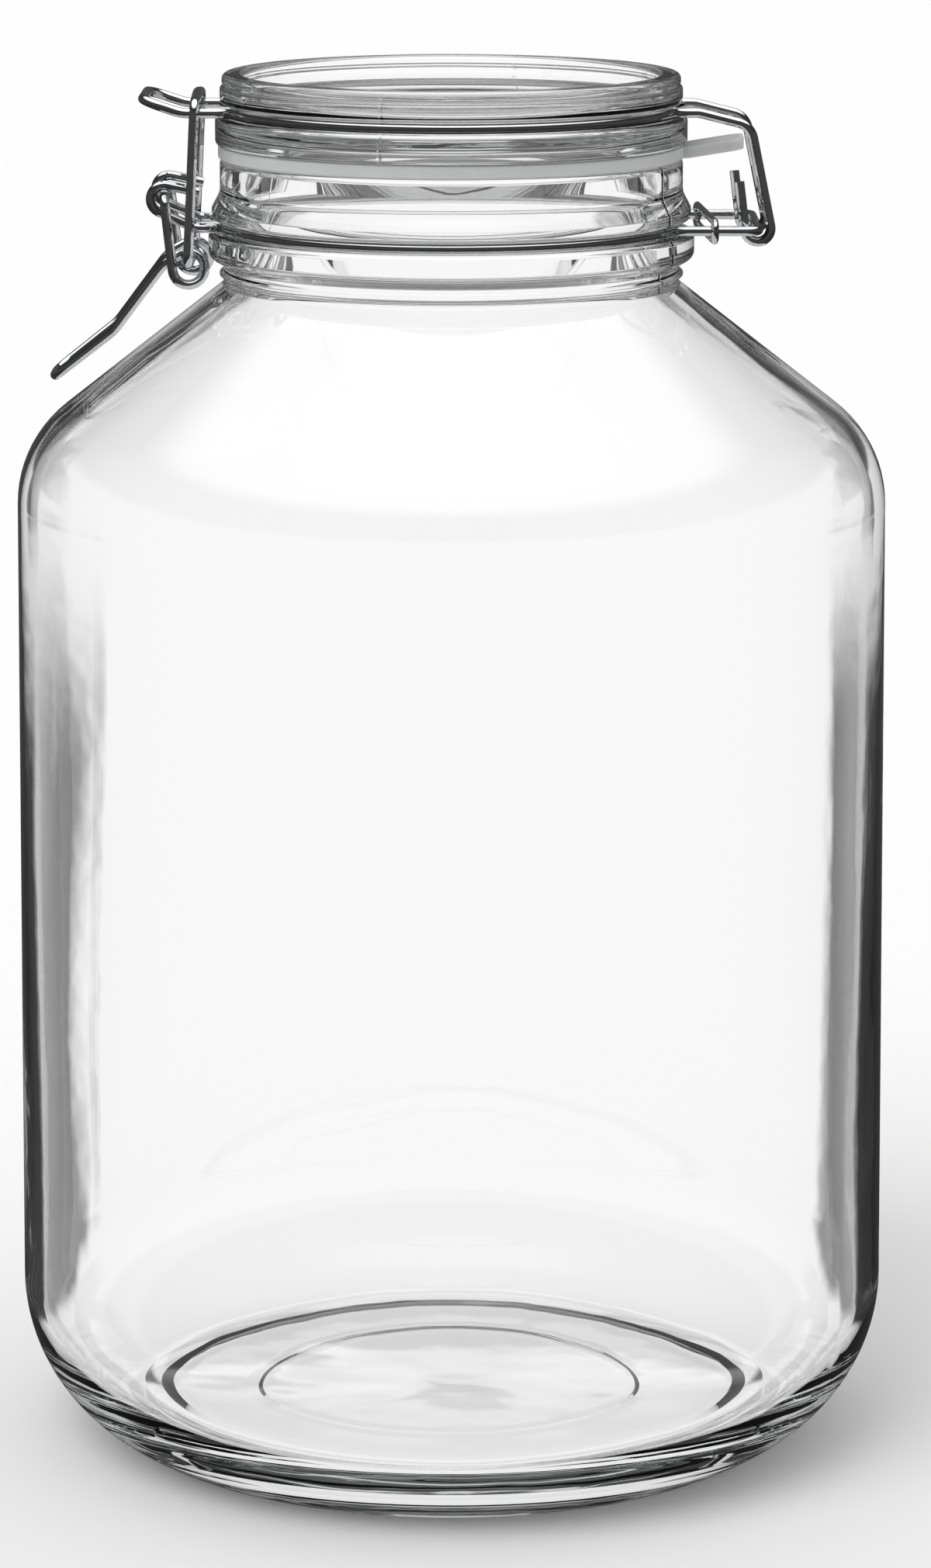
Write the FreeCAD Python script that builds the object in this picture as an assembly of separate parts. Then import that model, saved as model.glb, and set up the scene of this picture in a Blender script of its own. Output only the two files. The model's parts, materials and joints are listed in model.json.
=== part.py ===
import FreeCAD, Part
import math
import os

V = FreeCAD.Vector

# Wire-bail preserving jar. Millimetres, +Z up, origin at the centre of the base.
# The clasp is at -X and the lid's hinge at +X.

# Wire and clearances
wire_d = 2.0             # clasp and hoop wire
tie_wire_d = 1.5         # thinner wire of the tie ring
fit_gap = 0.3            # between pieces that move past each other
seat_gap = 0.15          # wire in its glass groove
bend_r = 4.0             # easy bends, along the middle of the wire
tight_bend_r = 2.2       # hard bends, along the middle of the wire
fine_round = 0.3         # rounding in the corners of grooves and small steps

# Jar body, from the foot up
heel_outer_r = 90.0      # body radius at the bottom of the wall
shoulder_outer_r = 88.6  # body radius at the top of the wall
wall = 3.6
base_thick = 7.2
push_up = 3.0            # rise of the base inside the foot
push_ring_inset = 22.5   # raised disc in the middle of the base, inside the foot
push_ring_step = 0.8
floor_rise = 1.5         # middle of the floor above its edge
foot_inset = 23.0        # outer edge of the foot inside the wall
foot_width = 4.7
heel_tilt = 22.0         # degrees that the heel rises from the edge of the foot
foot_round = 0.6
heel_sharpen = 7.3       # the heel's inside is rounded tighter than an even wall by this much
body_height = 207.8      # where the lines of the wall and the shoulder would meet
shoulder_arc = 24.0
shoulder_slope = 38.0    # degrees below level

# Neck, from the shoulder up
neck_r = 46.9
neck_wall = 5.1
neck_low_inset = 0.6     # the neck is narrower under its beads
neck_low_height = 3.8
parting_ring = 0.8       # width and height of the thin mould ring under the beads
low_bead_out = 2.4       # beads stand out from the neck
low_bead_height = 6.9
top_bead_out = 1.7
top_bead_height = 2.2
neck_flare = 3.2
neck_straight = 6.8
rim_round = 1.2
neck_fillet = 4.0

# Gasket
gasket_thick = 2.9
gasket_out = 0.3         # stands out from the neck
gasket_round = 0.6
tab_length = 11.2        # outside the lid's flange
tab_inset = 0.3          # the pull tab is thinner than the ring by this much on each face
tab_play = 4.0           # between the pull tab and each hook of the lid wire
tab_tilt = 9.0           # degrees above level

# Lid, from the flange up
lid_flange_out = 0.9     # stands out from the neck
lid_flange_height = 5.8
lid_flange_round = 1.4
lid_edge_round = 0.8     # under the flange
lid_bead_inset = 1.0
lid_bead_height = 3.6
lid_bead_round = 0.7
lid_notch = 0.5          # thin groove between the bead and the rim
lid_rim_inset = 0.4
lid_rim_height = 2.0
lid_rim_width = 4.6
lid_rim_round = 1.2
lid_recess = 6.6
recess_round = 3.0
lid_floor_thick = 5.5
plug_depth = 5.2
plug_round = 1.5
plug_play = 1.5          # between the plug and the mouth
plug_taper = 1.6
plug_width = 4.5

# Neck wire
neck_wire_out = 0.5      # middle of the wire outside the neck
hinge_out = 12.3         # hinge bar outside the lower bead
hinge_leg_y = 15.5
eye_y = 10.0
eye_out = 9.0            # eyes outside the upper bead
eye_rise = 5.8           # middle of the eye above the neck wire
eye_play = 0.8           # between the lever's pin and the eye
eye_tail = 6.5           # free end past the eye, back towards the neck
eye_tail_drop = 12.0     # degrees below level

# Lid wire
hook_play = 2.5          # between a hook and the leg of the hinge bar beside it
hook_slack = 0.6         # between a hook and the hinge bar
hook_tail = 9.8
hook_lean = 7.0          # degrees that the free end leans towards the jar
shank_lean = 1.6         # the shank's upper bend is this much nearer to the jar than the hinge bar
shank_drop = 2.6
tongue_length = 14.0     # outside the lid's flange
tongue_lift = 2.6
tongue_flat = 2.8        # straight run of the tongue past the link's crossbar
tongue_bend_r = 8.0
tongue_play = 1.0        # between the tongue and each leg of the link

# Clasp
loop_play = 1.2          # between the lever's loops and the link's lower bar
loop_drop = 8.0          # middle of the loops below the neck wire
loop_gap = 0.6           # where the two ends of a loop cross
loop_span = 50.0         # degrees of a loop in one biarc, at most
pin_tail = 1.6
elbow_out = 5.0          # handle's first bend, from the middle of the loops
elbow_rise = 0.9
elbow_bend_r = 10.0
knee_out = 15.5          # handle's second bend, from the middle of the loops
knee_bend_r = 8.0
tip_out = 27.8           # end of the handle, from the middle of the loops
handle_lift = 8.0        # handle above the line of the shoulder
handle_tip_y = 6.0
link_play = 0.7          # between the lever's arms and the link's legs
link_out = 3.4           # link's crossbar outside the lid's flange
link_arch = 1.2
link_arch_r = 40.0

# Tie ring
tie_out = 2.3            # outside the lower bead
tie_skew = 4.0           # degrees of turn about the vertical

# Jar and lid levels that follow from the sizes above
wire_r = wire_d / 2
groove_half = wire_r + seat_gap
slope_rise = math.tan(math.radians(shoulder_slope))
neck_low_r = neck_r - neck_low_inset
low_bead_r = neck_r + low_bead_out
top_bead_r = neck_r + top_bead_out
mouth_r = neck_r - neck_wall
neck_z = body_height + (shoulder_outer_r - neck_low_r) * slope_rise
bead_low_z = neck_z + neck_low_height
neck_wire_z = bead_low_z + low_bead_height + groove_half
bead_high_z = neck_wire_z + groove_half + top_bead_height
rim_z = bead_high_z + neck_flare + neck_straight
lid_z = rim_z + gasket_thick
lid_wire_z = lid_z + lid_flange_height + groove_half
lid_bead_z = lid_wire_z + groove_half
lid_notch_z = lid_bead_z + lid_bead_height
lid_top_z = lid_notch_z + lid_notch + lid_rim_height
lid_flange_r = neck_r + lid_flange_out
lid_bead_r = lid_flange_r - lid_bead_inset
lid_rim_r = lid_bead_r - lid_rim_inset
gasket_outer_r = neck_r + gasket_out
plug_r = mouth_r - plug_play

# Wire places that follow from the sizes above
neck_hoop_r = neck_r + neck_wire_out
neck_groove_r = neck_hoop_r - groove_half
lid_hoop_r = lid_bead_r - wire_r + seat_gap
lid_groove_r = lid_hoop_r - groove_half
hinge_reach = low_bead_r + hinge_out
hook_y = hinge_leg_y - wire_d - hook_play
hook_r = wire_d + hook_slack
tab_width = 2 * (hook_y - wire_r - tab_play)
eye_reach = top_bead_r + eye_out
eye_r = wire_d + eye_play
arm_y = eye_y + wire_d + fit_gap
leg_y = arm_y - wire_d - loop_gap
link_y = arm_y + wire_d + link_play
tongue_y = link_y - wire_d - tongue_play
loop_r = wire_d + loop_play
loop_reach = math.sqrt(low_bead_r ** 2 - leg_y ** 2) + wire_r + loop_r + fit_gap
link_reach = lid_flange_r + link_out
link_seat = loop_play - fit_gap
tongue_reach = lid_flange_r + tongue_length
tie_reach = low_bead_r + tie_out


def unit(vector):
    return vector.normalize() if vector.Length > 0 else vector


def corner(before, at, after, radius):
    # start, middle and end of the tangent arc that rounds a corner
    way_in = unit(at - before)
    way_out = unit(after - at)
    turn = way_in.getAngle(way_out)
    if radius <= 0 or turn < 1e-6:
        return None
    run = radius * math.tan(turn / 2)
    inward = unit(way_out - way_in)
    middle = at + inward * (radius / math.cos(turn / 2) - radius)
    return at - way_in * run, middle, at + way_out * run


def line(start, end):
    if start.distanceToPoint(end) < 1e-6:
        return []
    return [Part.LineSegment(start, end).toShape()]


def arc(start, middle, end):
    return [Part.Arc(start, middle, end).toShape()]


def bent(points, radii):
    # open path of straight runs joined by tangent arcs, one radius for each inner point
    edges = []
    here = points[0]
    for before, at, after, radius in zip(points, points[1:], points[2:], radii):
        turn = corner(before, at, after, radius)
        if turn is None:
            edges += line(here, at)
            here = at
        else:
            edges += line(here, turn[0]) + arc(*turn)
            here = turn[2]
    return edges + line(here, points[-1])


def bent_ring(points, radii):
    # closed path of straight runs joined by tangent arcs
    turns = []
    count = len(points)
    for i in range(count):
        turn = corner(points[i - 1], points[i], points[(i + 1) % count], radii[i])
        turns.append(turn or (points[i], None, points[i]))
    edges = []
    for i in range(count):
        if turns[i][1] is not None:
            edges += arc(*turns[i])
        edges += line(turns[i][2], turns[(i + 1) % count][0])
    return edges


def turned(outline):
    # solid of revolution about Z from (radius, height, rounding) corners
    points = [V(r, 0, z) for r, z, rounding in outline]
    edges = bent_ring(points, [rounding for r, z, rounding in outline])
    face = Part.Face(Part.Wire(Part.__sortEdges__(edges)))
    return face.revolve(V(0, 0, 0), V(0, 0, 1), 360)


def swept(edges, diameter):
    # round wire along a path of edges
    path = Part.Wire(edges)
    first = edges[0]
    start = first.valueAt(first.FirstParameter)
    heading = first.tangentAt(first.FirstParameter)
    ring = Part.Wire([Part.Circle(start, heading, diameter / 2).toShape()])
    solid = path.makePipeShell([ring], True, False)
    return Part.Solid(solid) if solid.ShapeType == "Shell" else solid


def touch_point(middle, radius, outside, side):
    # where a line from an outside point touches a circle, in the XZ plane
    away = middle - outside
    spread = math.asin(radius / away.Length)
    heading = math.atan2(away.z, away.x) + side * spread
    run = math.sqrt(away.Length ** 2 - radius ** 2)
    return V(outside.x + run * math.cos(heading), outside.y, outside.z + run * math.sin(heading))


def on_circle(middle, radius, angle, y):
    return V(middle.x + radius * math.cos(angle), y, middle.z + radius * math.sin(angle))


def angle_of(point, middle):
    return math.atan2(point.z - middle.z, point.x - middle.x)


def hoop_exit(hoop_r, leg_y, level, end):
    # bend from a hoop to a straight leg: on the hoop, on the bend and on the leg; end is +1 rear, -1 front
    spread = math.sqrt((hoop_r + bend_r) ** 2 - (leg_y + bend_r) ** 2)
    middle = V(end * spread, leg_y + bend_r, level)
    on_hoop = V(middle.x, middle.y, 0) * (hoop_r / (hoop_r + bend_r))
    on_hoop.z = level
    on_leg = V(middle.x, leg_y, level)
    inward = unit((on_hoop - middle) + (on_leg - middle))
    return on_hoop, middle + inward * bend_r, on_leg


def mirrored(point):
    return V(point.x, -point.y, point.z)


def reversed_edges(edges):
    # the same path walked the other way and mirrored to the other side of the jar
    other = []
    for edge in reversed(edges):
        start = mirrored(edge.valueAt(edge.LastParameter))
        end = mirrored(edge.valueAt(edge.FirstParameter))
        if isinstance(edge.Curve, Part.Circle):
            half = (edge.FirstParameter + edge.LastParameter) / 2
            other += arc(start, mirrored(edge.valueAt(half)), end)
        else:
            other += line(start, end)
    return other


def tangent_arc(start, heading, end):
    # arc that leaves a point along a heading and ends at a second point
    chord = end - start
    across = chord - heading * chord.dot(heading)
    if across.Length < 1e-9:
        return line(start, end)
    radius = chord.dot(chord) / (2 * across.Length)
    middle = start + unit(across) * radius
    halfway = unit((start - middle) + (end - middle))
    if chord.dot(heading) < 0:
        halfway = halfway * -1
    return arc(start, middle + halfway * radius, end)


def biarc(start, heading, end, heading_end):
    # two arcs that join two points and keep both headings
    chord = end - start
    both = heading + heading_end
    bend = 2 * (1 - heading.dot(heading_end))
    reach = chord.dot(both)
    arm = (math.sqrt(reach ** 2 + bend * chord.dot(chord)) - reach) / bend
    join = (start + heading * arm + end - heading_end * arm) * 0.5
    back = tangent_arc(end, heading_end * -1, join)[0]
    half = (back.FirstParameter + back.LastParameter) / 2
    return tangent_arc(start, heading, join) + arc(join, back.valueAt(half), end)


def make_jar_body():
    foot_r = heel_outer_r - foot_inset
    foot_inner_r = foot_r - foot_width
    push_ring_r = foot_inner_r - push_ring_inset
    heel_rise = foot_inset * math.tan(math.radians(heel_tilt))
    heel_run = foot_inset / math.cos(math.radians(heel_tilt)) - foot_round
    heel_arc = heel_run / math.tan(math.radians(90 - heel_tilt) / 2)
    inner_heel_r = heel_outer_r - wall
    inner_shoulder_r = shoulder_outer_r - wall
    slope_drop = wall / math.cos(math.radians(shoulder_slope))
    inner_shoulder_z = body_height + wall * slope_rise - slope_drop
    inner_neck_z = body_height + (shoulder_outer_r - mouth_r) * slope_rise - slope_drop
    groove_low = neck_wire_z - groove_half
    groove_high = neck_wire_z + groove_half
    ring_z = neck_z + (neck_low_height - parting_ring) / 2
    outline = [
        (0, push_up, 0),
        (push_ring_r, push_up, fine_round),
        (push_ring_r + push_ring_step, push_up - push_ring_step, fine_round),
        (foot_inner_r - push_up, push_up - push_ring_step, foot_round),
        (foot_inner_r, 0, foot_round),
        (foot_r, 0, foot_round),
        (heel_outer_r, heel_rise, heel_arc),
        (shoulder_outer_r, body_height, shoulder_arc),
        (neck_low_r, neck_z, neck_low_height / 4),
        (neck_low_r, ring_z, 0),
        (neck_low_r + parting_ring, ring_z, parting_ring / 3),
        (neck_low_r + parting_ring, ring_z + parting_ring, parting_ring / 3),
        (neck_low_r, ring_z + parting_ring, 0),
        (neck_low_r, bead_low_z, parting_ring / 2),
        (low_bead_r, bead_low_z + low_bead_height / 4, low_bead_height / 4),
        (low_bead_r, groove_low, low_bead_height / 5),
        (neck_groove_r, groove_low, fine_round),
        (neck_groove_r, groove_high, fine_round),
        (top_bead_r, groove_high, top_bead_height / 3),
        (top_bead_r, bead_high_z, top_bead_height / 3),
        (neck_r, bead_high_z + neck_flare, neck_fillet),
        (neck_r, rim_z, rim_round),
        (mouth_r, rim_z, rim_round),
        (mouth_r, inner_neck_z, neck_fillet),
        (inner_shoulder_r, inner_shoulder_z, shoulder_arc - wall),
        (inner_heel_r, base_thick, heel_arc - wall - heel_sharpen),
        (0, base_thick + floor_rise, 0),
    ]
    return turned(outline)


def make_lid():
    recess_r = lid_rim_r - lid_rim_width
    recess_z = lid_top_z - lid_recess
    hollow_r = plug_r - plug_taper - plug_width
    outline = [
        (0, recess_z - lid_floor_thick, 0),
        (hollow_r, recess_z - lid_floor_thick, plug_round),
        (hollow_r, lid_z - plug_depth, plug_round),
        (plug_r - plug_taper, lid_z - plug_depth, plug_round),
        (plug_r, lid_z, 0),
        (lid_flange_r, lid_z, lid_edge_round),
        (lid_flange_r, lid_z + lid_flange_height, lid_flange_round),
        (lid_groove_r, lid_z + lid_flange_height, fine_round),
        (lid_groove_r, lid_bead_z, fine_round),
        (lid_bead_r, lid_bead_z, lid_bead_round),
        (lid_bead_r, lid_notch_z, lid_bead_round),
        (lid_rim_r - lid_notch, lid_notch_z, lid_notch / 3),
        (lid_rim_r - lid_notch, lid_notch_z + lid_notch, lid_notch / 3),
        (lid_rim_r, lid_notch_z + lid_notch, lid_notch / 3),
        (lid_rim_r, lid_top_z, lid_rim_round),
        (recess_r, lid_top_z, lid_rim_round),
        (recess_r, recess_z, recess_round),
        (0, recess_z, 0),
    ]
    return turned(outline)


def make_gasket():
    inner_r = plug_r + fit_gap
    ring = turned([
        (inner_r, rim_z, gasket_round),
        (gasket_outer_r, rim_z, gasket_round),
        (gasket_outer_r, lid_z, gasket_round),
        (inner_r, lid_z, gasket_round),
    ])
    root = (inner_r + gasket_outer_r) / 2
    tab_reach = lid_flange_r + tab_length
    rise = tab_length * math.tan(math.radians(tab_tilt))
    low = rim_z + tab_inset
    high = lid_z - tab_inset
    side = [
        V(root, -tab_width / 2, low),
        V(lid_flange_r, -tab_width / 2, low),
        V(tab_reach, -tab_width / 2, low + rise),
        V(tab_reach, -tab_width / 2, high + rise),
        V(lid_flange_r, -tab_width / 2, high),
        V(root, -tab_width / 2, high),
    ]
    tab = Part.Face(Part.makePolygon(side + side[:1])).extrude(V(0, tab_width, 0))
    ends = [edge for edge in tab.Edges
            if all(abs(v.X - tab_reach) < 1e-6 for v in edge.Vertexes) and edge.Length < tab_width / 2]
    tab = tab.makeFillet(tab_width / 4, ends)
    return ring.fuse(tab).removeSplitter().Solids[0]


def make_neck_wire():
    level = neck_wire_z
    eye = V(-eye_reach, eye_y, level + eye_rise)
    front = hoop_exit(neck_hoop_r, eye_y, level, -1)
    rear = hoop_exit(neck_hoop_r, hinge_leg_y, level, 1)
    # eye: out of the hoop, up, round the lever's pin and back towards the neck
    knee = front[2] - V(wire_d, 0, 0)
    low = touch_point(eye, eye_r, knee, 1)
    tail_angle = math.radians(90 - eye_tail_drop)
    high = on_circle(eye, eye_r, tail_angle, eye_y)
    tail_way = V(math.sin(tail_angle), 0, -math.cos(tail_angle))
    half = [
        *line(high + tail_way * eye_tail, high),
        *arc(high, V(eye.x - eye_r, eye_y, eye.z), low),
        *bent([low, knee, front[2]], [bend_r]),
        *arc(front[2], front[1], front[0]),
        *arc(front[0], V(0, neck_hoop_r, level), rear[0]),
        *arc(*rear),
    ]
    # rear legs and the hinge bar between them
    bar = bent([
        rear[2],
        V(hinge_reach, hinge_leg_y, level),
        V(hinge_reach, -hinge_leg_y, level),
        mirrored(rear[2]),
    ], [tight_bend_r, tight_bend_r])
    return swept(half + bar + reversed_edges(half), wire_d)


def make_lid_wire():
    level = lid_wire_z
    pin = V(hinge_reach, hook_y, neck_wire_z)
    rear = hoop_exit(lid_hoop_r, hook_y, level, 1)
    front = hoop_exit(lid_hoop_r, tongue_y, level, -1)
    # hook: free end, round the hinge bar, up the shank and over to the hoop
    bend = V(hinge_reach - shank_lean, hook_y, level - shank_drop)
    outer = touch_point(pin, hook_r, bend, 1)
    lean = math.radians(hook_lean)
    inner = on_circle(pin, hook_r, math.pi + lean, hook_y)
    free_end = inner + V(-math.sin(lean), 0, math.cos(lean)) * hook_tail
    bottom = on_circle(pin, hook_r, -math.pi / 2, hook_y)
    knee = rear[2] + V(wire_d, 0, 0)
    half = [
        *line(free_end, inner),
        *arc(inner, bottom, outer),
        *bent([outer, bend, knee, rear[2]], [bend_r, bend_r]),
        *arc(rear[2], rear[1], rear[0]),
        *arc(rear[0], V(0, lid_hoop_r, level), front[0]),
        *arc(*front),
    ]
    # tongue: two legs joined by a round tip that turns up
    valley = V(-link_reach - tongue_flat, tongue_y, level)
    end = V(-tongue_reach, tongue_y, level + tongue_lift)
    tip = bent(
        [front[2], valley, end, mirrored(end), mirrored(valley), mirrored(front[2])],
        [tongue_bend_r, bend_r, bend_r, tongue_bend_r])
    return swept(half + tip + reversed_edges(half), wire_d)


def lever_points():
    # pivot pin and loop centre of the lever, on the jar's middle plane
    pivot = V(-eye_reach, 0, neck_wire_z + eye_rise + eye_r - wire_d - fit_gap)
    loop = V(-loop_reach, 0, neck_wire_z - loop_drop)
    return pivot, loop


def over_shoulder(reach, y):
    # point of the handle above the slope of the shoulder
    return V(-reach, y, neck_z - (reach - neck_low_r) * slope_rise + handle_lift)


def loop_turn(loop, start_angle, end_angle, start_y, step):
    # one wound turn that steps sideways, as biarcs of about the same turn
    spans = math.ceil(math.degrees(end_angle - start_angle) / loop_span)
    points = []
    headings = []
    for i in range(spans + 1):
        share = i / spans
        angle = start_angle + (end_angle - start_angle) * share
        aside = step * (share - math.sin(2 * math.pi * share) / (2 * math.pi))
        drift = step * (1 - math.cos(2 * math.pi * share)) / (end_angle - start_angle)
        points.append(on_circle(loop, loop_r, angle, start_y - aside))
        headings.append(unit(V(-loop_r * math.sin(angle), -drift, loop_r * math.cos(angle))))
    edges = []
    for i in range(spans):
        edges += biarc(points[i], headings[i], points[i + 1], headings[i + 1])
    return edges


def make_lever():
    pivot, loop = lever_points()
    at_pin = V(pivot.x, arm_y, pivot.z)
    pin_end = V(pivot.x, eye_y - wire_r - pin_tail, pivot.z)
    arm_foot = touch_point(V(loop.x, arm_y, loop.z), loop_r, at_pin, -1)
    elbow = loop + V(-elbow_out, leg_y, elbow_rise)
    knee = over_shoulder(loop_reach + knee_out, (leg_y + handle_tip_y) / 2)
    tip = over_shoulder(loop_reach + tip_out, handle_tip_y)
    leg_top = touch_point(V(loop.x, leg_y, loop.z), loop_r, elbow, 1)
    start_angle = angle_of(arm_foot, loop)
    end_angle = angle_of(leg_top, loop)
    if start_angle > 0:
        start_angle -= 2 * math.pi
    half = [
        *bent([pin_end, at_pin, arm_foot], [tight_bend_r]),
        *loop_turn(loop, start_angle, end_angle, arm_y, arm_y - leg_y),
    ]
    handle = bent([
        leg_top, elbow, knee, tip,
        mirrored(tip), mirrored(knee), mirrored(elbow), mirrored(leg_top),
    ], [elbow_bend_r, knee_bend_r, bend_r, bend_r, knee_bend_r, elbow_bend_r])
    crossing = arm_y - leg_y - wire_d
    print("lever loop: least gap between the arm and the leg that crosses it %.2f mm" % crossing)
    return swept(half + handle + reversed_edges(half), wire_d)


def make_clamp_link():
    pivot, loop = lever_points()
    low = loop + V(0, 0, link_seat)
    # the crossbar is arched and rests just over the two legs of the tongue
    seat_z = lid_wire_z + wire_d + fit_gap
    side_z = seat_z - link_arch * (1 - tongue_y / link_y)
    top = -link_reach
    points = [
        V(low.x, 0, low.z),
        V(low.x, link_y, low.z),
        V(top, link_y, side_z),
        V(top, 0, side_z + link_arch),
        V(top, -link_y, side_z),
        V(low.x, -link_y, low.z),
    ]
    radii = [0, tight_bend_r, tight_bend_r, link_arch_r, tight_bend_r, tight_bend_r]
    return swept(bent_ring(points, radii), wire_d)


def make_tie_ring():
    turn_r = wire_r + tie_wire_d / 2 + seat_gap
    out_y = hinge_leg_y + turn_r
    low, high = neck_wire_z - turn_r, neck_wire_z + turn_r
    points = [
        V(tie_reach, 0, low),
        V(tie_reach, out_y, low),
        V(tie_reach, out_y, high),
        V(tie_reach, -out_y, high),
        V(tie_reach, -out_y, low),
    ]
    ring = swept(bent_ring(points, [0] + 4 * [turn_r]), tie_wire_d)
    ring.rotate(V(tie_reach, 0, neck_wire_z), V(0, 0, 1), tie_skew)
    return ring


pieces = {
    "jar_body": make_jar_body(),
    "lid": make_lid(),
    "gasket": make_gasket(),
    "lid_wire": make_lid_wire(),
    "neck_wire": make_neck_wire(),
    "lever": make_lever(),
    "clamp_link": make_clamp_link(),
    "tie_ring": make_tie_ring(),
}

os.makedirs("parts", exist_ok=True)
for name, shape in pieces.items():
    shape.exportStep("parts/%s.step" % name)
    box = shape.BoundBox
    print("%-10s %d solid, valid %s, %.1f mm3, X %.1f..%.1f Y %.1f..%.1f Z %.1f..%.1f" % (
        name, len(shape.Solids), shape.isValid(), shape.Volume,
        box.XMin, box.XMax, box.YMin, box.YMax, box.ZMin, box.ZMax))
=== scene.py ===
import bpy
import json
import math
from mathutils import Matrix, Vector, noise


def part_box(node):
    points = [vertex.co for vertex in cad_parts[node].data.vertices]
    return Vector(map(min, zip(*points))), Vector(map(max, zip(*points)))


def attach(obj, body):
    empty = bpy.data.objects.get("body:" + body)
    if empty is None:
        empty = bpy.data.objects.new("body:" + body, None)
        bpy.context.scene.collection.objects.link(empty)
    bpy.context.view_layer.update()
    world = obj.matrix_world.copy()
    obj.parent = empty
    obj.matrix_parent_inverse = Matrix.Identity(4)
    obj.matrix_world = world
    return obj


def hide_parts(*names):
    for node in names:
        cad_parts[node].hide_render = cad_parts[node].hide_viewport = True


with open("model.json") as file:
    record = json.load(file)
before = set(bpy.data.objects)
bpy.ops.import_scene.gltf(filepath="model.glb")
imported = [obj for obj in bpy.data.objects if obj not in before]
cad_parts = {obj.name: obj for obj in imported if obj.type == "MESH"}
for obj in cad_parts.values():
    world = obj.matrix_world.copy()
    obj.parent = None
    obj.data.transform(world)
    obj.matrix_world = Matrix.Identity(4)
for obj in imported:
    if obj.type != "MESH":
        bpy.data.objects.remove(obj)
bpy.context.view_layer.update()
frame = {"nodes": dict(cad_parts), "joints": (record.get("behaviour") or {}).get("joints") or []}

# Jar body: one piece of clear soda glass, pressed at the neck and then blown out into a two-part mould.
# The outside took the mould's smooth face, with seams only at the neck. The inside met no tool, so it is
# wavy, and the glass gathered thickly in the heel and the base.
mm = 0.001
wire_d = 2.0 * mm
seat_gap = 0.15 * mm
groove_half = wire_d / 2 + seat_gap
joint_at = {joint["name"]: Vector(joint["pos_m"]) for joint in frame["joints"]}
neck_wire_z = joint_at["lid_hinge"].z
rim_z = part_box("jar_body")[1].z
wall = 3.6 * mm
base_thick = 7.2 * mm
floor_rise = 1.5 * mm
heel_r = 90.0 * mm
foot_inset = 23.0 * mm
foot_r = heel_r - foot_inset
foot_inner_r = foot_r - 4.7 * mm
foot_round = 0.6 * mm
heel_tilt = math.radians(22)
heel_sharpen = 7.3 * mm
push_up = 3.0 * mm
push_ring_r = foot_inner_r - 22.5 * mm
push_ring_step = 0.8 * mm
shoulder_r = 88.6 * mm
body_height = 207.8 * mm
shoulder_arc = 24.0 * mm
shoulder_slope = math.radians(38)
neck_r = 46.9 * mm
neck_low_r = neck_r - 0.6 * mm
neck_low_height = 3.8 * mm
mouth_r = neck_r - 5.1 * mm
low_bead_r = neck_r + 2.4 * mm
low_bead_height = 6.9 * mm
top_bead_r = neck_r + 1.7 * mm
top_bead_height = 2.2 * mm
neck_flare = 3.2 * mm
neck_groove_r = neck_r + 0.5 * mm - groove_half
parting_ring = 0.8 * mm
neck_fillet = 4.0 * mm
fine_round = 0.3 * mm
rim_round = 1.2 * mm
seam_turns = [math.radians(-26), math.radians(154)]
seam_half = 0.5 * mm
seam_height = 0.12 * mm
arc_turn = math.radians(10)
arc_step = 2 * mm


def rounded_line(corners, step):
    # points along (radius, height, rounding) corners, with an arc at each rounding and runs cut to a step
    points = []
    last = len(corners) - 1
    for i, (r, z, rounding) in enumerate(corners):
        here = Vector((r, z))
        if rounding <= 0 or i in (0, last):
            arc = [here]
        else:
            way_in = (here - Vector(corners[i - 1][:2])).normalized()
            way_out = (Vector(corners[i + 1][:2]) - here).normalized()
            turn = way_in.angle_signed(way_out)
            run = rounding * math.tan(abs(turn) / 2)
            count = max(2, math.ceil(abs(turn) / arc_turn), math.ceil(abs(turn) * rounding / arc_step))
            side = Vector((way_in.y, -way_in.x)) * math.copysign(rounding, turn)
            middle = here - way_in * run + side
            arc = [middle + Matrix.Rotation(-turn * k / count, 2) @ -side for k in range(count + 1)]
        if points:
            gap = arc[0] - points[-1]
            pieces = max(1, math.ceil(gap.length / step))
            points += [points[-1] + gap * k / pieces for k in range(1, pieces)]
        points += [p for p in arc if not points or (p - points[-1]).length > 1e-7]
    return points


def turns_with_seams(count, seams, radius):
    # angles round a turned piece, set closer together across each seam
    turns = [2 * math.pi * k / count for k in range(count)]
    for seam in seams:
        turns += [(seam + k * seam_half / radius / 3) % (2 * math.pi) for k in range(-4, 5)]
    return sorted(set(round(turn, 6) for turn in turns))


def seam_ridge(angle, seams, radius):
    # height of the mould seam at an angle, rounded off to nothing at its sides
    for seam in seams:
        aside = abs(math.remainder(angle - seam, 2 * math.pi)) * radius
        if aside < seam_half:
            return seam_height * math.cos(aside / seam_half * math.pi / 2) ** 2
    return 0


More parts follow.
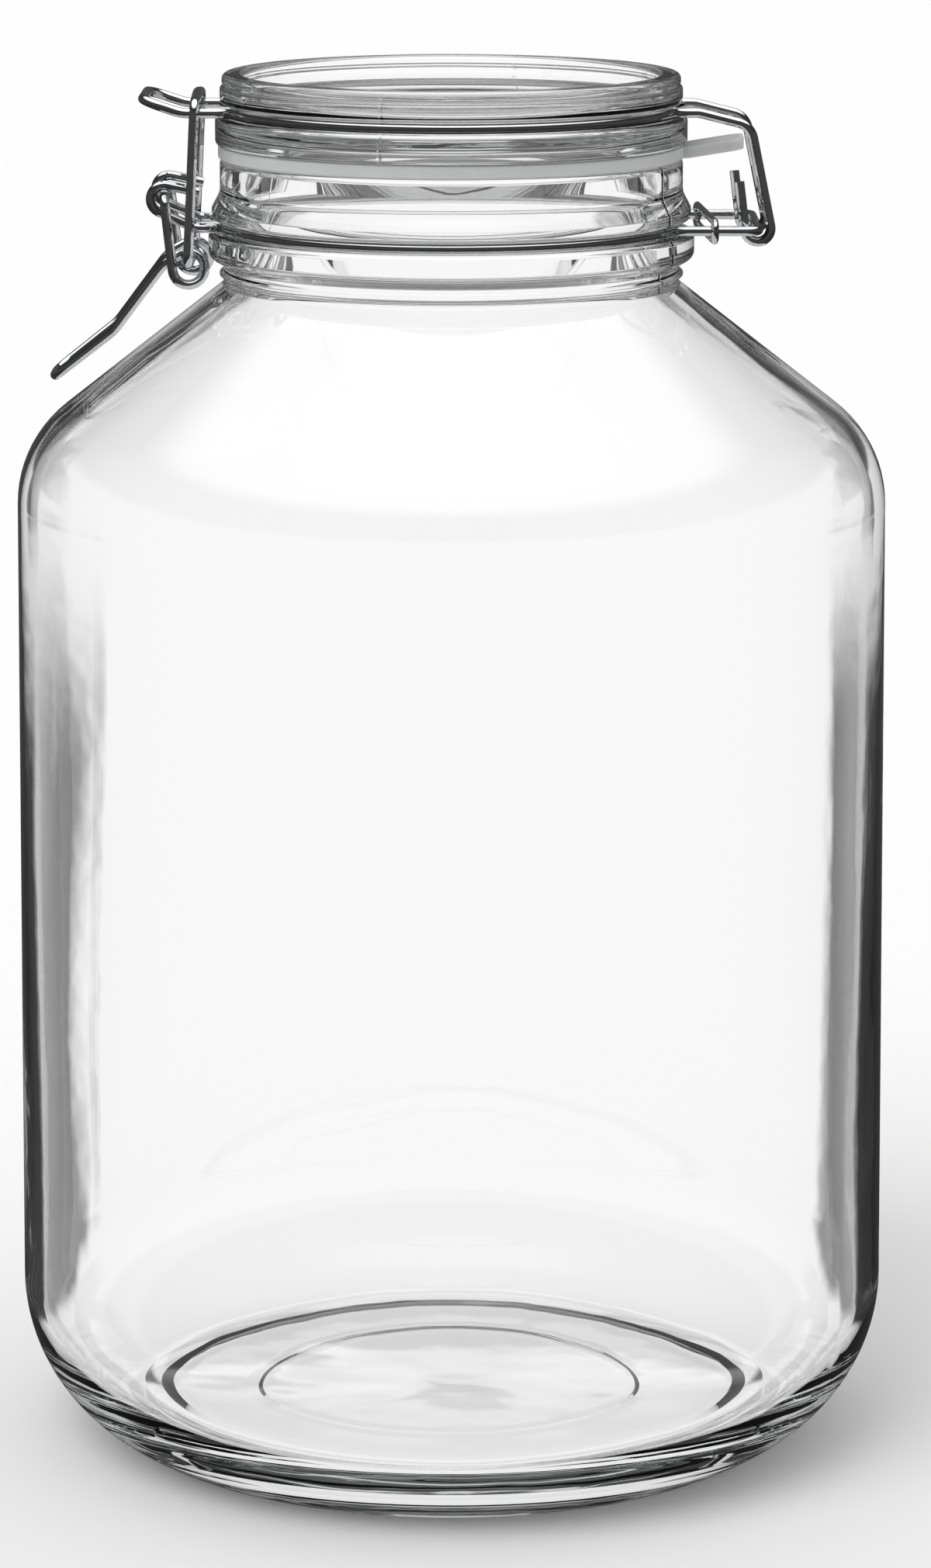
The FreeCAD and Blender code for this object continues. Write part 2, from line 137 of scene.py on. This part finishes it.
def turned_glass(name, profile, turns, shift):
    # closed mesh turned about the Z axis; shift moves each point along the outline's normal
    verts = []
    rings = []
    for i, point in enumerate(profile):
        along = profile[min(i + 1, len(profile) - 1)] - profile[max(i - 1, 0)]
        normal = Vector((along.y, -along.x)).normalized()
        if point.x < 1e-6:
            rings.append([len(verts)])
            verts.append((0, 0, point.y))
            continue
        ring = []
        for angle in turns:
            place = point + normal * shift(i, angle, point)
            ring.append(len(verts))
            verts.append((place.x * math.cos(angle), place.x * math.sin(angle), place.y))
        rings.append(ring)
    faces = []
    for low, high in zip(rings, rings[1:]):
        for k in range(len(turns)):
            n = (k + 1) % len(turns)
            if len(low) == 1:
                faces.append((low[0], high[n], high[k]))
            elif len(high) == 1:
                faces.append((low[k], low[n], high[0]))
            else:
                faces.append((low[k], low[n], high[n], high[k]))
    mesh = bpy.data.meshes.new(name)
    mesh.from_pydata(verts, [], faces)
    mesh.shade_smooth()
    mesh.validate()
    piece = bpy.data.objects.new(name, mesh)
    bpy.context.scene.collection.objects.link(piece)
    return piece


slope_rise = math.tan(shoulder_slope)
slope_drop = wall / math.cos(shoulder_slope)
heel_rise = foot_inset * math.tan(heel_tilt)
heel_run = foot_inset / math.cos(heel_tilt) - foot_round
heel_arc = heel_run / math.tan((math.pi / 2 - heel_tilt) / 2)
neck_z = body_height + (shoulder_r - neck_low_r) * slope_rise
bead_low_z = neck_z + neck_low_height
groove_low = neck_wire_z - groove_half
groove_high = neck_wire_z + groove_half
bead_high_z = groove_high + top_bead_height
ring_z = neck_z + (neck_low_height - parting_ring) / 2
jar_step = 4 * mm
jar_profile = rounded_line([
    (0, push_up, 0),
    (push_ring_r, push_up, fine_round),
    (push_ring_r + push_ring_step, push_up - push_ring_step, fine_round),
    (foot_inner_r - push_up, push_up - push_ring_step, foot_round),
    (foot_inner_r, 0, foot_round),
    (foot_r, 0, foot_round),
    (heel_r, heel_rise, heel_arc),
    (shoulder_r, body_height, shoulder_arc),
    (neck_low_r, neck_z, neck_low_height / 4),
    (neck_low_r, ring_z, 0),
    (neck_low_r + parting_ring, ring_z, parting_ring / 3),
    (neck_low_r + parting_ring, ring_z + parting_ring, parting_ring / 3),
    (neck_low_r, ring_z + parting_ring, 0),
    (neck_low_r, bead_low_z, parting_ring / 2),
    (low_bead_r, bead_low_z + low_bead_height / 4, low_bead_height / 4),
    (low_bead_r, groove_low, low_bead_height / 5),
    (neck_groove_r, groove_low, fine_round),
    (neck_groove_r, groove_high, fine_round),
    (top_bead_r, groove_high, top_bead_height / 3),
    (top_bead_r, bead_high_z, top_bead_height / 3),
    (neck_r, bead_high_z + neck_flare, neck_fillet),
    (neck_r, rim_z, rim_round),
    (mouth_r, rim_z, rim_round),
    (mouth_r, body_height + (shoulder_r - mouth_r) * slope_rise - slope_drop, neck_fillet),
    (shoulder_r - wall, body_height + wall * slope_rise - slope_drop, shoulder_arc - wall),
    (heel_r - wall, base_thick, heel_arc - wall - heel_sharpen),
    (0, base_thick + floor_rise, 0),
], jar_step)
rim_index = max(range(len(jar_profile)), key=lambda i: jar_profile[i].y)
jar_turns = 240
inner_wave = 0.36 * mm
wave_length = 42 * mm
inner_ripple = 0.06 * mm
ripple_length = 14 * mm
drawn_out = 0.3
wave_fade = 40 * mm
floor_wave = 0.12 * mm
lump_length = 17 * mm
lump_fade = 12 * mm
mould_wave = 0.01 * mm
mould_wave_length = 30 * mm
skin_inset = 0.03 * mm


def jar_shift(i, angle, point):
    # seams outside, slow waves and quick ripples inside, and lumps over the floor
    place = Vector((math.cos(angle) * point.x, math.sin(angle) * point.x, point.y))
    if i <= rim_index:
        ridge = seam_ridge(angle, seam_turns, neck_r) if point.y > neck_z else 0
        return ridge + mould_wave * (noise.noise(place / mould_wave_length) - 1) - skin_inset
    tall = Vector((place.x, place.y, place.z * drawn_out))
    fade = min(1, max(0, (neck_z - point.y) / wave_fade)) * min(1, max(0, point.y / heel_arc))
    slow = noise.noise(tall / wave_length)
    quick = noise.noise(tall / ripple_length)
    inside = min(1, max(0, (foot_inner_r - point.x) / lump_fade)) if point.y < heel_arc else 0
    lumps = noise.noise(place / lump_length) + 0.4 * noise.noise(2.4 * place / lump_length)
    return fade * (inner_wave * slow + inner_ripple * quick) + inside * floor_wave * lumps


jar = turned_glass("jar_glass", jar_profile, turns_with_seams(jar_turns, seam_turns, neck_r), jar_shift)


def plain_node(tree, kind, **values):
    # a node with the named properties and inputs set
    node = tree.nodes.new(kind)
    for key, value in values.items():
        if key in node.inputs:
            node.inputs[key].default_value = value
        else:
            setattr(node, key, value)
    return node


def new_group(name, inputs, outputs):
    # shader node group with float inputs (and their defaults) and float outputs
    group = bpy.data.node_groups.new(name, "ShaderNodeTree")
    for label, value in inputs.items():
        socket = group.interface.new_socket(label, in_out="INPUT", socket_type="NodeSocketFloat")
        socket.default_value = value
    for label in outputs:
        group.interface.new_socket(label, in_out="OUTPUT", socket_type="NodeSocketFloat")
    return group, group.nodes.new("NodeGroupInput"), group.nodes.new("NodeGroupOutput")


# Handling marks lie on the glass, the rubber and the wire: cloudy smears broken up by fine specks.
marks, given, result = new_group("handling_marks", {"Scale": 40, "Cover": 0.45}, ["Mask"])
coords = plain_node(marks, "ShaderNodeTexCoord")
smear = plain_node(marks, "ShaderNodeTexNoise", Detail=4, Roughness=0.6, Distortion=0.8)
speck = plain_node(marks, "ShaderNodeTexNoise", Detail=2, Roughness=0.5)
finer = plain_node(marks, "ShaderNodeMath", operation="MULTIPLY")
finer.inputs[1].default_value = 9
edge = plain_node(marks, "ShaderNodeMapRange", interpolation_type="SMOOTHSTEP")
broken = plain_node(marks, "ShaderNodeMath", operation="MULTIPLY")
lower_edge = plain_node(marks, "ShaderNodeMath", operation="SUBTRACT")
lower_edge.inputs[0].default_value = 1
marks.links.new(coords.outputs["Object"], smear.inputs["Vector"])
marks.links.new(coords.outputs["Object"], speck.inputs["Vector"])
marks.links.new(given.outputs["Scale"], smear.inputs["Scale"])
marks.links.new(given.outputs["Scale"], finer.inputs[0])
marks.links.new(finer.outputs[0], speck.inputs["Scale"])
marks.links.new(given.outputs["Cover"], lower_edge.inputs[1])
marks.links.new(smear.outputs["Fac"], edge.inputs["Value"])
marks.links.new(lower_edge.outputs[0], edge.inputs["From Min"])
marks.links.new(edge.outputs["Result"], broken.inputs[0])
marks.links.new(speck.outputs["Fac"], broken.inputs[1])
marks.links.new(broken.outputs[0], result.inputs["Mask"])


def add_marks(tree, scale, cover):
    node = plain_node(tree, "ShaderNodeGroup", node_tree=marks)
    node.inputs["Scale"].default_value = scale
    node.inputs["Cover"].default_value = cover
    return node.outputs["Mask"]


def between(tree, mask, low, high):
    # a value that runs from low to high with a mask
    node = plain_node(tree, "ShaderNodeMapRange")
    node.inputs["To Min"].default_value = low
    node.inputs["To Max"].default_value = high
    tree.links.new(mask, node.inputs["Value"])
    return node.outputs["Result"]


# Fine ripple is the unevenness that each piece's making leaves on its skin.
ripples, given, result = new_group("fine_ripple", {"Scale": 60, "Detail": 2}, ["Height"])
coords = plain_node(ripples, "ShaderNodeTexCoord")
wave = plain_node(ripples, "ShaderNodeTexNoise")
ripples.links.new(coords.outputs["Object"], wave.inputs["Vector"])
ripples.links.new(given.outputs["Scale"], wave.inputs["Scale"])
ripples.links.new(given.outputs["Detail"], wave.inputs["Detail"])
ripples.links.new(wave.outputs["Fac"], result.inputs["Height"])


def add_ripple(tree, shader, scale, detail, height):
    node = plain_node(tree, "ShaderNodeGroup", node_tree=ripples)
    node.inputs["Scale"].default_value = scale
    node.inputs["Detail"].default_value = detail
    bump = plain_node(tree, "ShaderNodeBump", Strength=1, Distance=height)
    tree.links.new(node.outputs["Height"], bump.inputs["Height"])
    tree.links.new(bump.outputs["Normal"], shader.inputs["Normal"])


def new_material(name):
    material = bpy.data.materials.new(name)
    material.use_nodes = True
    return material, material.node_tree, material.node_tree.nodes["Principled BSDF"]


def clear_glass(name, marks_scale, marks_cover, ripple):
    # colourless glass with a faint green-grey depth, fine ripple and a few smears
    material, tree, shader = new_material(name)
    shader.inputs["Base Color"].default_value = (1, 1, 1, 1)
    shader.inputs["Transmission Weight"].default_value = 1
    shader.inputs["IOR"].default_value = 1.51
    smears = add_marks(tree, marks_scale, marks_cover)
    tree.links.new(between(tree, smears, low=0, high=0.05), shader.inputs["Roughness"])
    add_ripple(tree, shader, scale=60, detail=2, height=ripple)
    depth = plain_node(tree, "ShaderNodeVolumeAbsorption", Color=(0.8, 0.812, 0.81, 1), Density=12)
    tree.links.new(depth.outputs["Volume"], tree.nodes["Material Output"].inputs["Volume"])
    return material


jar.data.materials.append(clear_glass("jar_clear_glass", marks_scale=18, marks_cover=0.42, ripple=0.03 * mm))
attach(jar, "jar")
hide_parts("jar_body")

# Neck wire and tie ring: bright drawn steel wire, bent cold round the groove in the neck. Its rear legs are
# held together by an oblong ring of thinner wire. The finish is smooth, a little dulled where it is handled.
nodes = frame["nodes"]


def drawn_wire(name, dark, light, smooth, worn):
    # drawn steel with fine die lines, dull smears and a slightly uneven grey
    material, tree, shader = new_material(name)
    shader.inputs["Metallic"].default_value = 1
    smears = add_marks(tree, scale=260, cover=0.55)
    tone = plain_node(tree, "ShaderNodeMix", data_type="RGBA")
    tone.inputs["A"].default_value = light
    tone.inputs["B"].default_value = dark
    tree.links.new(smears, tone.inputs["Factor"])
    tree.links.new(tone.outputs["Result"], shader.inputs["Base Color"])
    tree.links.new(between(tree, smears, smooth, worn), shader.inputs["Roughness"])
    add_ripple(tree, shader, scale=900, detail=3, height=0.006 * mm)
    return material


def dress(name, material):
    # gives a solid of the frame its finish
    nodes[name].data.materials.clear()
    nodes[name].data.materials.append(material)


hoop_dark = (0.26, 0.263, 0.27, 1)
hoop_light = (0.5, 0.505, 0.515, 1)
hoop_steel = drawn_wire("hoop_wire_steel", hoop_dark, hoop_light, smooth=0.07, worn=0.22)
dress("neck_wire", hoop_steel)
dress("tie_ring", hoop_steel)

# Gasket: a ring of soft, milky translucent rubber that lies on the jar's rim under the lid's flange. It has a
# pull tab at the hinge side. It is moulded, so its skin is even, with a light bloom.
milky, tree, shader = new_material("milky_rubber")
bloom = add_marks(tree, scale=120, cover=0.6)
skin = plain_node(tree, "ShaderNodeMix", data_type="RGBA")
skin.inputs["A"].default_value = (0.5, 0.505, 0.51, 1)
skin.inputs["B"].default_value = (0.64, 0.645, 0.645, 1)
tree.links.new(bloom, skin.inputs["Factor"])
tree.links.new(skin.outputs["Result"], shader.inputs["Base Color"])
tree.links.new(between(tree, bloom, low=0.32, high=0.6), shader.inputs["Roughness"])
shader.inputs["Subsurface Weight"].default_value = 0.55
shader.inputs["Subsurface Scale"].default_value = 3 * mm
shader.inputs["Subsurface Radius"].default_value = (1, 1, 1)
shader.inputs["IOR"].default_value = 1.42
add_ripple(tree, shader, scale=420, detail=3, height=0.03 * mm)
dress("gasket", milky)

# Lid: pressed clear glass with a flange on the gasket, a groove for its wire, a bead, a rim round a sunk top
# and a hollow plug that centres it in the mouth. The press leaves it truer than the jar, with one short seam.
lid_low, lid_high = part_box("lid")
lid_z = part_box("gasket")[0].z + 2.9 * mm
lid_top_z = lid_high.z
lid_flange_r = neck_r + 0.9 * mm
lid_flange_height = 5.8 * mm
lid_bead_r = lid_flange_r - 1.0 * mm
lid_bead_height = 3.6 * mm
lid_bead_round = 0.7 * mm
lid_rim_r = lid_bead_r - 0.4 * mm
lid_rim_round = 1.2 * mm
lid_notch = 0.5 * mm
lid_groove_r = lid_bead_r - wire_d / 2 + seat_gap - groove_half
lid_bead_z = lid_z + lid_flange_height + 2 * groove_half
lid_notch_z = lid_bead_z + lid_bead_height
recess_r = lid_rim_r - 4.6 * mm
recess_z = lid_top_z - 6.6 * mm
recess_round = 3.0 * mm
ceiling_z = recess_z - 5.5 * mm
plug_r = mouth_r - 1.5 * mm
plug_taper = 1.6 * mm
plug_round = 1.5 * mm
hollow_r = plug_r - plug_taper - 4.5 * mm
plug_z = lid_low.z
lid_turns = 216
lid_wave = 0.05 * mm
lid_wave_length = 16 * mm
lid_seams = [math.radians(-107), math.radians(73)]
lid_step = 3 * mm
lid_profile = rounded_line([
    (0, ceiling_z, 0),
    (hollow_r, ceiling_z, plug_round),
    (hollow_r, plug_z, plug_round),
    (plug_r - plug_taper, plug_z, plug_round),
    (plug_r, lid_z, 0),
    (lid_flange_r, lid_z, 0.8 * mm),
    (lid_flange_r, lid_z + lid_flange_height, 1.4 * mm),
    (lid_groove_r, lid_z + lid_flange_height, fine_round),
    (lid_groove_r, lid_bead_z, fine_round),
    (lid_bead_r, lid_bead_z, lid_bead_round),
    (lid_bead_r, lid_notch_z, lid_bead_round),
    (lid_rim_r - lid_notch, lid_notch_z, lid_notch / 3),
    (lid_rim_r - lid_notch, lid_notch_z + lid_notch, lid_notch / 3),
    (lid_rim_r, lid_notch_z + lid_notch, lid_notch / 3),
    (lid_rim_r, lid_top_z, lid_rim_round),
    (recess_r, lid_top_z, lid_rim_round),
    (recess_r, recess_z, recess_round),
    (0, recess_z, 0),
], lid_step)


def lid_shift(i, angle, point):
    place = Vector((math.cos(angle) * point.x, math.sin(angle) * point.x, point.y))
    outside = point.x > lid_groove_r + fine_round and lid_z < point.y < lid_top_z - lid_rim_round
    ridge = seam_ridge(angle, lid_seams, lid_flange_r) if outside else 0
    calm = 0 if abs(point.y - lid_z) < fine_round else 1
    return ridge + calm * lid_wave * (noise.noise(place / lid_wave_length) - 1)


lid = turned_glass("lid_glass", lid_profile, turns_with_seams(lid_turns, lid_seams, lid_flange_r), lid_shift)
lid.data.materials.append(clear_glass("lid_clear_glass", marks_scale=30, marks_cover=0.46, ripple=0.02 * mm))
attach(lid, "lid")
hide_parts("lid")

# Lid wire, lever and clamp link: the same drawn steel, a little brighter where thumbs rub it. The lid wire
# hooks on the hinge bar. The lever turns in the neck wire's eyes and pulls the link over the lid's tongue.
rubbed_dark = (0.28, 0.283, 0.29, 1)
rubbed_light = (0.54, 0.545, 0.555, 1)
clasp_steel = drawn_wire("clasp_wire_steel", rubbed_dark, rubbed_light, smooth=0.06, worn=0.2)
for name in ("lid_wire", "lever", "clamp_link"):
    dress(name, clasp_steel)

# Studio: a pale table and a white surround under a dark ceiling. Dark cards flank the far wall, where only
# glass shows them, because clear glass on white is drawn by the dark that its edges bend into view.
table_reach = 8
table_mesh = bpy.data.meshes.new("table")
table_corners = ((-1, -1, 0), (1, -1, 0), (1, 1, 0), (-1, 1, 0))
table_mesh.from_pydata([Vector(corner) * table_reach for corner in table_corners], [], [(0, 1, 2, 3)])
table = bpy.data.objects.new("table", table_mesh)
bpy.context.scene.collection.objects.link(table)
pale, tree, shader = new_material("pale_table")
shader.inputs["Base Color"].default_value = (0.93, 0.93, 0.93, 1)
shader.inputs["Roughness"].default_value = 0.9
shader.inputs["Specular IOR Level"].default_value = 0
table.data.materials.append(pale)
table.visible_transmission = False
table.visible_glossy = False

world = bpy.data.worlds.new("studio")
bpy.context.scene.world = world
world.use_nodes = True
tree = world.node_tree
tree.nodes.clear()


def calc(operation, first, second=None):
    # one sum on two values, each a socket or a number
    node = plain_node(tree, "ShaderNodeMath", operation=operation)
    for slot, value in enumerate((first, second)):
        if isinstance(value, (int, float)):
            node.inputs[slot].default_value = value
        elif value is not None:
            tree.links.new(value, node.inputs[slot])
    return node.outputs[0]


def rise(value, low, high):
    # 0 below low, 1 above high, smooth between
    node = plain_node(tree, "ShaderNodeMapRange", interpolation_type="SMOOTHSTEP")
    node.inputs["From Min"].default_value = low
    node.inputs["From Max"].default_value = high
    tree.links.new(value, node.inputs["Value"])
    return node.outputs["Result"]


def band(value, ends, soft):
    # 1 between two ends, with a soft change at each
    low, high = ends
    past_high = rise(value, high - soft, high + soft)
    return calc("MULTIPLY", rise(value, low - soft, low + soft), calc("SUBTRACT", 1, past_high))


def tan(degrees):
    return math.tan(math.radians(degrees))


def sin(degrees):
    return math.sin(math.radians(degrees))


heading = plain_node(tree, "ShaderNodeSeparateXYZ")
tree.links.new(plain_node(tree, "ShaderNodeTexCoord").outputs["Generated"], heading.inputs[0])
level = heading.outputs["Z"]
ahead = heading.outputs["Y"]
facing = rise(ahead, 0.55, 0.68)
# tangent of the angle to either side of the middle of the far wall
aside = calc("DIVIDE", calc("ABSOLUTE", heading.outputs["X"]), calc("MAXIMUM", ahead, 0.1))
low_card_sides = (tan(9.5), tan(36))
low_card_levels = (sin(-21), sin(-10.4))
tall_card_sides = (tan(29), tan(39))
tall_card_levels = (sin(-9), sin(25))
wall_top_levels = (sin(1), sin(14))
edge_soft = 0.02
card_dark = 0.95
low_card_reach = band(aside, low_card_sides, edge_soft)
low_card = calc("MULTIPLY", low_card_reach, band(level, low_card_levels, edge_soft))
tall_card_reach = band(aside, tall_card_sides, edge_soft)
tall_card = calc("MULTIPLY", tall_card_reach, band(level, tall_card_levels, edge_soft))
wall_top = band(level, wall_top_levels, edge_soft)
cards = calc("MULTIPLY", facing, calc("MAXIMUM", calc("MAXIMUM", low_card, tall_card), wall_top))
ceiling_levels = (sin(19), sin(70))
ceiling_soft = 0.05
ceiling_dark = 0.9
ceiling = band(level, ceiling_levels, ceiling_soft)
under_ceiling = calc("SUBTRACT", 1, calc("MULTIPLY", ceiling, ceiling_dark))
seen_through = calc("MULTIPLY", under_ceiling, calc("SUBTRACT", 1, calc("MULTIPLY", cards, card_dark)))
# metal and the skin of the glass reflect a dim room with a wide lamp cloth overhead
room_grey = 0.05
cloth_white = 2.0
cloth = rise(level, sin(38), sin(52))
wall_levels = (sin(-12), sin(18))
wall_soft = 0.1
wall_white = 0.04
wall_glow = calc("MULTIPLY", band(level, wall_levels, wall_soft), wall_white)
mirrored_room = calc("ADD", room_grey, calc("ADD", calc("MULTIPLY", cloth, cloth_white), wall_glow))
table_light = 0.82
rays = plain_node(tree, "ShaderNodeLightPath")


def choose(switch, off, on):
    # one of two levels by a 0 or 1 switch
    node = plain_node(tree, "ShaderNodeMix", data_type="FLOAT")
    tree.links.new(switch, node.inputs["Factor"])
    for label, value in (("A", off), ("B", on)):
        if isinstance(value, (int, float)):
            node.inputs[label].default_value = value
        else:
            tree.links.new(value, node.inputs[label])
    return node.outputs["Result"]


strength = choose(rays.outputs["Is Glossy Ray"], table_light, mirrored_room)
strength = choose(rays.outputs["Is Transmission Ray"], strength, seen_through)
strength = choose(rays.outputs["Is Camera Ray"], strength, 1)
background = plain_node(tree, "ShaderNodeBackground")
background.inputs["Color"].default_value = (1, 1, 1, 1)
tree.links.new(strength, background.inputs["Strength"])
tree.links.new(background.outputs[0], plain_node(tree, "ShaderNodeOutputWorld").inputs["Surface"])

key = bpy.data.lights.new("key", "SUN")
key.energy = 1.0
key.angle = math.radians(40)
key_lamp = bpy.data.objects.new("key", key)
key_lamp.rotation_euler = (math.radians(40), 0, math.radians(-35))
key_lamp.visible_glossy = False
key_lamp.visible_transmission = False
bpy.context.scene.collection.objects.link(key_lamp)

# Camera: a long lens a little above the lid, upright, aimed at the middle of the jar.
# The light paths are long enough for the many turns that light takes in the thick heel.
camera = bpy.data.cameras.new("camera")
camera.lens = 130.3
camera.sensor_width = 36
camera_at = Vector((2.87 * mm, -1.150, 0.3793))
look_at = Vector((2.87 * mm, 0, 0.1363))
camera_piece = bpy.data.objects.new("camera", camera)
camera_piece.location = camera_at
camera_piece.rotation_euler = (look_at - camera_at).to_track_quat("-Z", "Y").to_euler()
bpy.context.scene.collection.objects.link(camera_piece)
bpy.context.scene.camera = camera_piece
bpy.context.scene.view_settings.view_transform = "Standard"
bpy.context.scene.cycles.max_bounces = 24
bpy.context.scene.cycles.glossy_bounces = 16
bpy.context.scene.cycles.transmission_bounces = 24
